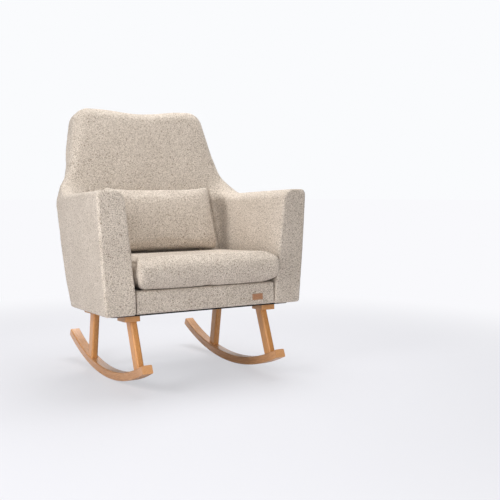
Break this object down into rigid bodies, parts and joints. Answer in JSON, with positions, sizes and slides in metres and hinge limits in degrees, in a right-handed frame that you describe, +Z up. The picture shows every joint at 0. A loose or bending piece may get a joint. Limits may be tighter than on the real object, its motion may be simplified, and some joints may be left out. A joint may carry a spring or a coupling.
{
  "type": "rocking armchair",
  "caption": "Upholstered nursery rocking armchair on bent wooden rockers, with a high back, padded arms, a loose seat cushion and a lumbar cushion.",
  "frame": {"origin": "on the floor, midway between the two rockers, at the front-to-back station where both rockers touch the floor", "axes": "+Z up, -Y towards the front of the chair, +X towards the sitter's left hand"},
  "size_m": [0.7416, 0.7142, 0.9367],
  "materials": {
    "upholstery": "matte",
    "timber": "satin",
    "frame_timber": "matte",
    "foam": "matte",
    "filling": "matte",
    "deck_cloth": "matte",
    "dust_cloth": "matte",
    "webbing": "matte",
    "tab": "satin",
    "zip_tape": "matte",
    "zip_metal": "satin",
    "steel": "satin"
  },
  "bodies": {
    "root": {"rocker_left": "timber", "rocker_right": "timber", "front_leg_left": "timber", "front_leg_right": "timber", "rear_leg_left": "timber", "rear_leg_right": "timber", "front_leg_block_left": "timber", "front_leg_block_right": "timber", "rear_leg_block_left": "timber", "rear_leg_block_right": "timber", "leg_bolts": "steel", "block_bolts": "steel", "rocker_screws": "steel", "base_front_rail": "frame_timber", "base_rear_rail": "frame_timber", "base_side_rail_left": "frame_timber", "base_side_rail_right": "frame_timber", "base_corner_blocks": "frame_timber", "base_centre_slat": "frame_timber", "dust_cover": "dust_cloth", "seat_springs": "steel", "spring_clips": "steel", "deck_pad": "foam", "deck_cloth": "deck_cloth", "arm_front_post_left": "frame_timber", "arm_front_post_right": "frame_timber", "arm_rear_post_left": "frame_timber", "arm_rear_post_right": "frame_timber", "arm_top_rail_left": "frame_timber", "arm_top_rail_right": "frame_timber", "arm_bottom_rail_left": "frame_timber", "arm_bottom_rail_right": "frame_timber", "arm_side_panel_left": "frame_timber", "arm_side_panel_right": "frame_timber", "arm_bolts": "steel", "back_post_left": "frame_timber", "back_post_right": "frame_timber", "back_top_rail": "frame_timber", "back_middle_rail": "frame_timber", "back_brackets": "steel", "back_webbing": "webbing", "arm_foam_left": "foam", "arm_foam_right": "foam", "back_foam": "foam", "arm_cover_left": "upholstery", "arm_cover_right": "upholstery", "back_cover": "upholstery", "front_border": "upholstery", "label_tab": "tab"},
    "seat_cushion": {"seat_cushion_foam": "foam", "seat_cushion_cover": "upholstery", "seat_zip": "zip_tape"},
    "lumbar_cushion": {"lumbar_filling": "filling", "lumbar_cover": "upholstery", "lumbar_zip": "zip_tape"},
    "seat_zip_slider_body": {"seat_zip_slider": "zip_metal"},
    "lumbar_zip_slider_body": {"lumbar_zip_slider": "zip_metal"}
  },
  "joints": [
    {"name": "seat_cushion_lift", "type": "slide", "parent": "root", "child": "seat_cushion", "axis": [0, 0, 1], "range_m": [0, 0.34]},
    {"name": "lumbar_cushion_lift", "type": "slide", "parent": "seat_cushion", "child": "lumbar_cushion", "axis": [0, -0.2588, 0.9659], "range_m": [0, 0.26]},
    {"name": "seat_zip_slide", "type": "slide", "parent": "seat_cushion", "child": "seat_zip_slider_body", "axis": [1, 0, 0], "range_m": [-0.344, 0]},
    {"name": "lumbar_zip_slide", "type": "slide", "parent": "lumbar_cushion", "child": "lumbar_zip_slider_body", "axis": [1, 0, 0], "range_m": [-0.284, 0]}
  ]
}
